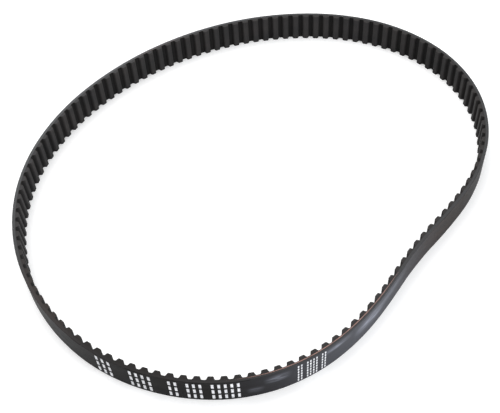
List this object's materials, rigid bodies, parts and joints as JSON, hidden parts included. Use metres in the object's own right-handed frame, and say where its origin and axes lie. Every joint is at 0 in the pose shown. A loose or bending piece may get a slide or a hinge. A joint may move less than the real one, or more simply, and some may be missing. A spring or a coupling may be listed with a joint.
{
  "type": "timing belt",
  "caption": "Endless toothed timing belt with trapezoidal teeth, standing on its side edge in a free egg-shaped loop with a shallow dent.",
  "frame": {"origin": "middle of the belt's plan bounding box, at the cut side edge that it stands on", "axes": "+Z across the belt's width, upwards; +X along the longest extent of the loop; the dent is on the +X, -Y side"},
  "size_m": [0.3922, 0.3772, 0.0254],
  "materials": {
    "backing_rubber": "ground black rubber, slightly glossy",
    "cord_bed_rubber": "cut black rubber",
    "tension_cord": "twisted glass-fibre cord with an orange-brown coating",
    "tooth_rubber": "black rubber",
    "tooth_facing": "charcoal woven nylon, rubber filled, matte",
    "ink": "worn white ink"
  },
  "bodies": {
    "root": {"backing_rubber": "backing_rubber", "cord_bed_rubber": "cord_bed_rubber", "tension_cord_s": "tension_cord", "tension_cord_z": "tension_cord", "tooth_rubber": "tooth_rubber", "tooth_facing_fabric": "tooth_facing", "maker_mark_bars": "ink", "size_mark_bars": "ink", "caution_mark_bars": "ink", "lot_mark_bars": "ink"}
  },
  "joints": []
}
